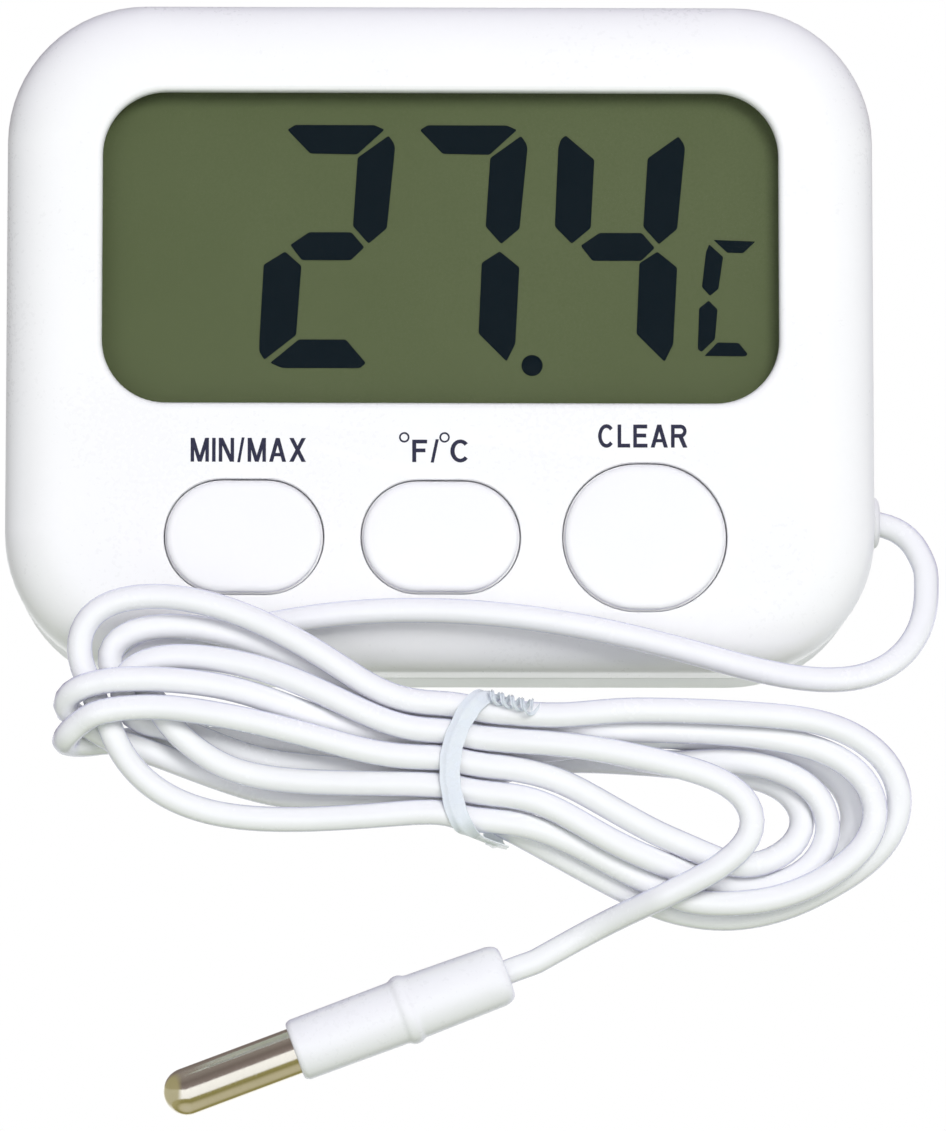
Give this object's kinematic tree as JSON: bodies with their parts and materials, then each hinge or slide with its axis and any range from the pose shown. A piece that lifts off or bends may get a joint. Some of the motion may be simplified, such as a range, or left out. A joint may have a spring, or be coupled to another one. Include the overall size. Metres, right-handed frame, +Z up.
{
  "type": "maximum minimum thermometer",
  "caption": "Digital max-min thermometer: rounded white case with an LCD, three keys, a rear stand and battery door, and a steel-tipped probe on a coiled, tied cable.",
  "frame": {"origin": "middle of the case's flat rear face", "axes": "+Z up as the display reads, +X to the reader's right, the display faces -Y and the rear face looks along +Y"},
  "size_m": [0.0752, 0.0268, 0.0897],
  "materials": {
    "case_white": "satin gloss",
    "case_rear_white": "satin",
    "key_white": "satin gloss",
    "cable_pvc": "glossy PVC",
    "sleeve_white": "satin gloss",
    "tip_steel": "polished",
    "window_clear": "clear",
    "lcd_glass": "clear",
    "lcd_film": "olive reflector",
    "lcd_film_front": "neutral film",
    "zebra_rubber": "matte",
    "board_green": "solder mask",
    "chip_resin": "black resin",
    "tin_plate": "tinned",
    "spring_nickel": "nickel plate",
    "capacitor_body": "matte",
    "switch_black": "matte",
    "cell_jacket": "plain jacket",
    "wire_red": "satin",
    "wire_black": "satin",
    "screw_zinc": "zinc plate",
    "grommet_white": "matte",
    "tie_film": "translucent film",
    "bead_resin": "resin"
  },
  "bodies": {
    "case": {"front_shell": "case_white", "rear_shell": "case_rear_white", "display_window": "window_clear", "lcd_front_polariser": "lcd_film_front", "lcd_front_glass": "lcd_glass", "lcd_rear_glass": "lcd_glass", "lcd_rear_polariser": "lcd_film", "zebra_strip": "zebra_rubber", "circuit_board": "board_green", "chip_blob": "chip_resin", "watch_crystal": "tin_plate", "capacitor_1": "capacitor_body", "capacitor_2": "capacitor_body", "switch_base_1": "tin_plate", "switch_base_2": "tin_plate", "switch_base_3": "tin_plate", "battery": "cell_jacket", "battery_spring": "spring_nickel", "battery_contact_minus": "spring_nickel", "battery_contact_plus": "spring_nickel", "battery_wire_red": "wire_red", "battery_wire_black": "wire_black", "case_screw_1": "screw_zinc", "case_screw_2": "screw_zinc", "case_screw_3": "screw_zinc", "case_screw_4": "screw_zinc", "board_screw_1": "screw_zinc", "board_screw_2": "screw_zinc", "cable_grommet": "grommet_white", "sensor_wire_1": "wire_red", "sensor_wire_2": "wire_black", "sensor_cable": "cable_pvc", "cable_tie": "tie_film"},
    "minmax_key": {"minmax_key": "key_white", "switch_plunger_1": "switch_black"},
    "unit_key": {"unit_key": "key_white", "switch_plunger_2": "switch_black"},
    "reset_key": {"reset_key": "key_white", "switch_plunger_3": "switch_black"},
    "battery_door": {"battery_door": "case_rear_white"},
    "stand": {"stand": "case_rear_white"},
    "probe": {"probe_lead": "cable_pvc", "probe_sleeve": "sleeve_white", "probe_tip": "tip_steel", "thermistor": "bead_resin"}
  },
  "joints": [
    {"name": "minmax_key_press", "type": "slide", "parent": "case", "child": "minmax_key", "axis": [0, 1, 0], "range_m": [0, 0.0005], "stiffness_N_per_m": 50},
    {"name": "unit_key_press", "type": "slide", "parent": "case", "child": "unit_key", "axis": [0, 1, 0], "range_m": [0, 0.0005], "stiffness_N_per_m": 50},
    {"name": "reset_key_press", "type": "slide", "parent": "case", "child": "reset_key", "axis": [0, 1, 0], "range_m": [0, 0.0005], "stiffness_N_per_m": 50},
    {"name": "door_hinge", "type": "hinge", "parent": "case", "child": "battery_door", "pos_m": [0, -0.0003, 0.005], "axis": [-1, 0, 0], "range_deg": [0, 75]},
    {"name": "stand_hinge", "type": "hinge", "parent": "case", "child": "stand", "pos_m": [0, -0.0017, -0.0042], "axis": [1, 0, 0], "range_deg": [0, 50]},
    {"name": "probe_swing", "type": "hinge", "parent": "case", "child": "probe", "pos_m": [0.0121, -0.017, -0.0478], "axis": [0, 1, 0], "range_deg": [-20, 20]}
  ]
}
